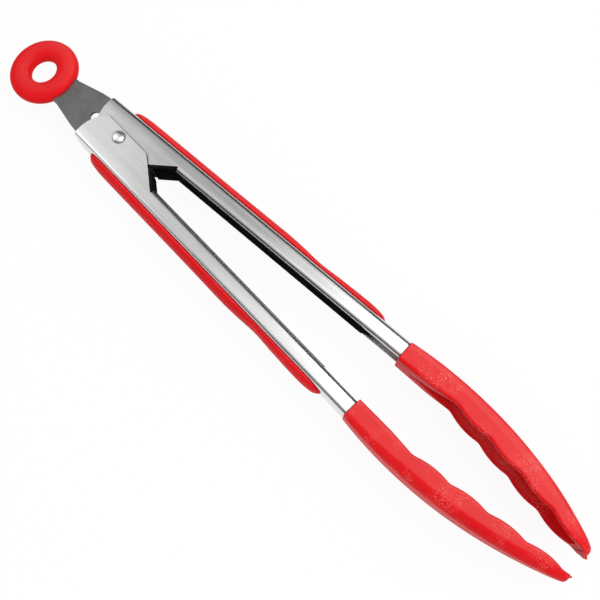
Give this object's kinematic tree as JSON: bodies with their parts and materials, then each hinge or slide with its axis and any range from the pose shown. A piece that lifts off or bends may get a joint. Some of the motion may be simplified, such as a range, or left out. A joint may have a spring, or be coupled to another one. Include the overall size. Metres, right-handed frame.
{
  "type": "kitchen tongs",
  "caption": "Spring loaded kitchen tongs with locking pull ring, channel steel arms, soft back grips and scalloped silicone heads.",
  "frame": {"origin": "centre of the bounding box in X and Y, at the height of its lowest point, in the locked pose", "axes": "+X from the hanging ring to the tips, +Y out through the back of the upper arm, +Z along the pivot axis"},
  "size_m": [0.3062, 0.0428, 0.0284],
  "materials": {
    "arm_steel": "satin brushed along the arm",
    "tab_steel": "dull, unpolished",
    "rivet_steel": "polished dome",
    "sleeve_steel": "turned",
    "spring_steel": "drawn wire",
    "head_silicone": "satin, lightly frosted",
    "grip_silicone": "satin",
    "ring_silicone": "satin",
    "liner_plastic": "matt"
  },
  "bodies": {
    "pivot": {"pivot_rivet": "rivet_steel", "spacer_sleeve": "sleeve_steel", "torsion_spring": "spring_steel"},
    "upper_arm": {"upper_arm": "arm_steel", "upper_head": "head_silicone", "upper_grip": "grip_silicone", "upper_liner": "liner_plastic"},
    "lower_arm": {"lower_arm": "arm_steel", "lower_head": "head_silicone", "lower_grip": "grip_silicone", "lower_liner": "liner_plastic"},
    "tab": {"lock_tab": "tab_steel", "hanging_ring": "ring_silicone"}
  },
  "joints": [
    {"name": "upper_arm_hinge", "type": "hinge", "parent": "pivot", "child": "upper_arm", "pos_m": [-0.09026, 0, 0.01421], "axis": [0, 0, 1], "range_deg": [-0.85, 9.5], "deforming": ["torsion_spring"]},
    {"name": "lower_arm_hinge", "type": "hinge", "parent": "pivot", "child": "lower_arm", "pos_m": [-0.09026, 0, 0.01421], "axis": [0, 0, 1], "range_deg": [-9.5, 0.85]},
    {"name": "tab_slide", "type": "slide", "parent": "pivot", "child": "tab", "axis": [1, 0, 0], "range_m": [-0.00107, 0.01189]}
  ],
  "couplings": [
    {"joint": "lower_arm_hinge", "follows": "upper_arm_hinge", "ratio": -1},
    {"joint": "tab_slide", "follows": "upper_arm_hinge", "m_per_rad": 0.07162}
  ]
}
